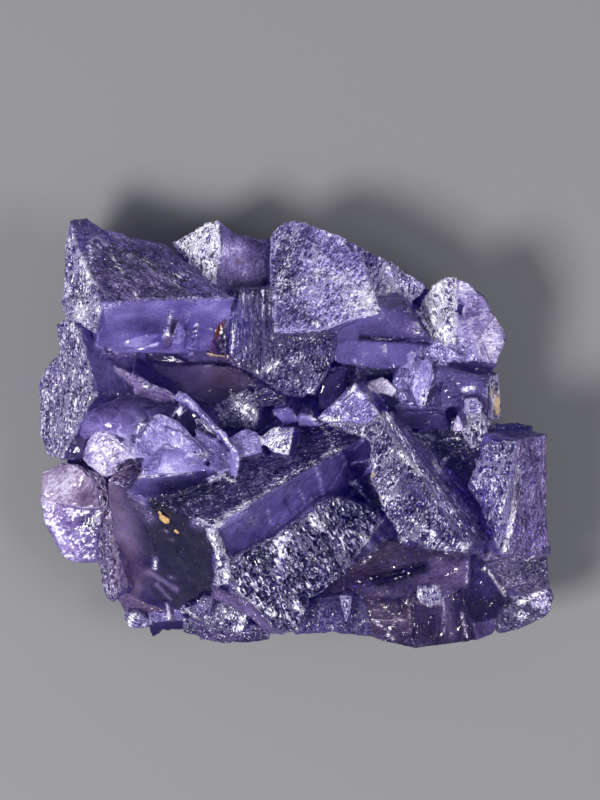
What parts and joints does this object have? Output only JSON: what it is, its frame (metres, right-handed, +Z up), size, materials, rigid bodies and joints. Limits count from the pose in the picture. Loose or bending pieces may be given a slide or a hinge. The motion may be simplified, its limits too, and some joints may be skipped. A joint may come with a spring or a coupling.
{
  "type": "fluorite cluster",
  "caption": "Hand-sized cluster of intergrown deep violet fluorite cubes, etched on some faces and glassy on others, broken flat at the back.",
  "frame": {"origin": "middle of the footprint, on the flat break that the specimen rests on", "axes": "+X along the longest side, +Y towards the far side, +Z up, out of the crystals"},
  "size_m": [0.0644, 0.054, 0.025],
  "materials": {
    "fluorite": "deep violet fluorite, see-through where thin, with etched, striped and glassy faces"
  },
  "bodies": {
    "root": {"fluorite_cluster": "fluorite"}
  },
  "joints": []
}
